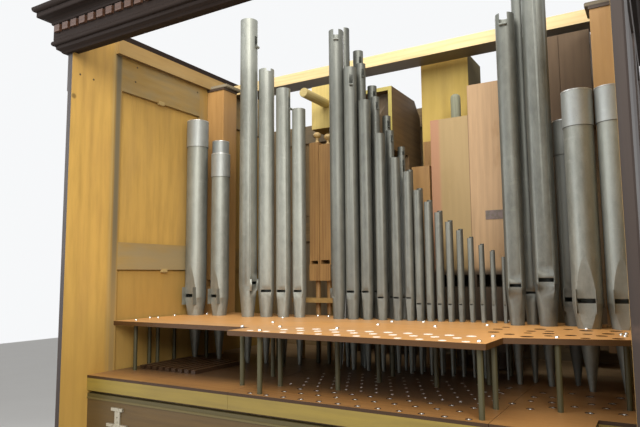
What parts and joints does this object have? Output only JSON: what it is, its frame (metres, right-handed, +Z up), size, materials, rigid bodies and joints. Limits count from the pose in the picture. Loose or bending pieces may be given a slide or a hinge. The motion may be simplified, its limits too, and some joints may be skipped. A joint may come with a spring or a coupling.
{
  "type": "chamber pipe organ",
  "caption": "Small pipe organ with its case front open: wind chest, drilled toe boards and rackboard, ranks of metal flue pipes, and square wooden pipes behind.",
  "frame": {"origin": "centre of the case on the floor", "axes": "+Z up, +X to the right seen from the front, +Y from the open front to the back"},
  "size_m": [1.71, 1.173, 2.682],
  "materials": {
    "dark_case_wood": "dark brown stained softwood, worn",
    "post_wood": "bare yellow pine inside, dark stain outside",
    "frame_wood": "bare pine inside, dark stain outside",
    "panel_wood": "bare greyish pine inside, dark stain outside",
    "rail_wood": "pale planed pine",
    "dentil_wood": "reddish brown stained wood",
    "back_wood": "plain pine, aged",
    "beam_wood": "pale planed pine",
    "chest_wood": "aged brown wood",
    "front_board_wood": "yellow green aged pine",
    "bung_wood": "olive brown aged wood",
    "catch_metal": "dull plated steel",
    "table_wood": "reddish brown waxed wood",
    "toe_wood": "reddish brown waxed wood",
    "rack_wood": "orange brown waxed wood",
    "pillar_wood": "turned olive brown dowels",
    "pipe_metal": "dull grey planed metal, lightly spotted",
    "cap_metal": "lighter grey planed metal",
    "corner_wood": "orange brown varnished pine",
    "cap_wood": "dark cap board",
    "yellow_pipe_wood": "yellow pine",
    "brown_pipe_wood": "brown aged wood",
    "painted_pipe_wood": "pinkish size paint on wood",
    "handle_wood": "turned beech",
    "small_pipe_wood": "brown varnished wood"
  },
  "bodies": {
    "root": {"plinth": "dark_case_wood", "post_left": "post_wood", "post_right": "post_wood", "side_frame_left": "frame_wood", "side_frame_right": "frame_wood", "side_panels_left": "panel_wood", "side_panels_right": "panel_wood", "top_rails": "rail_wood", "front_top_rail": "dark_case_wood", "cornice": "dark_case_wood", "dentils": "dentil_wood", "lower_front_frame": "dark_case_wood", "lower_front_panels": "dark_case_wood", "back_frame": "back_wood", "back_panels": "back_wood", "back_beam": "beam_wood", "wind_chest": "chest_wood", "front_boards": "front_board_wood", "bung_board": "bung_wood", "turn_buttons": "catch_metal", "chest_table": "table_wood", "toe_boards": "toe_wood", "rear_board": "chest_wood", "rack_board": "rack_wood", "rack_pillars": "pillar_wood", "stopped_pipes": "pipe_metal", "stopped_caps": "cap_metal", "tall_pipes_left": "pipe_metal", "tall_pipes_right": "pipe_metal", "tenor_pipes_front": "pipe_metal", "treble_pipes_front": "pipe_metal", "tenor_pipes_middle": "pipe_metal", "treble_pipes_middle": "pipe_metal", "tenor_pipes_back": "pipe_metal", "corner_pipes": "corner_wood", "corner_caps": "cap_wood", "mitred_pipe_left": "yellow_pipe_wood", "mitred_pipe_middle": "brown_pipe_wood", "mitred_pipe_right": "brown_pipe_wood", "mitred_stoppers": "handle_wood", "small_wood_pipes": "small_pipe_wood", "small_stoppers": "handle_wood", "yellow_wood_pipe": "yellow_pipe_wood", "painted_wood_pipes": "painted_pipe_wood", "rear_racks": "rail_wood"}
  },
  "joints": []
}
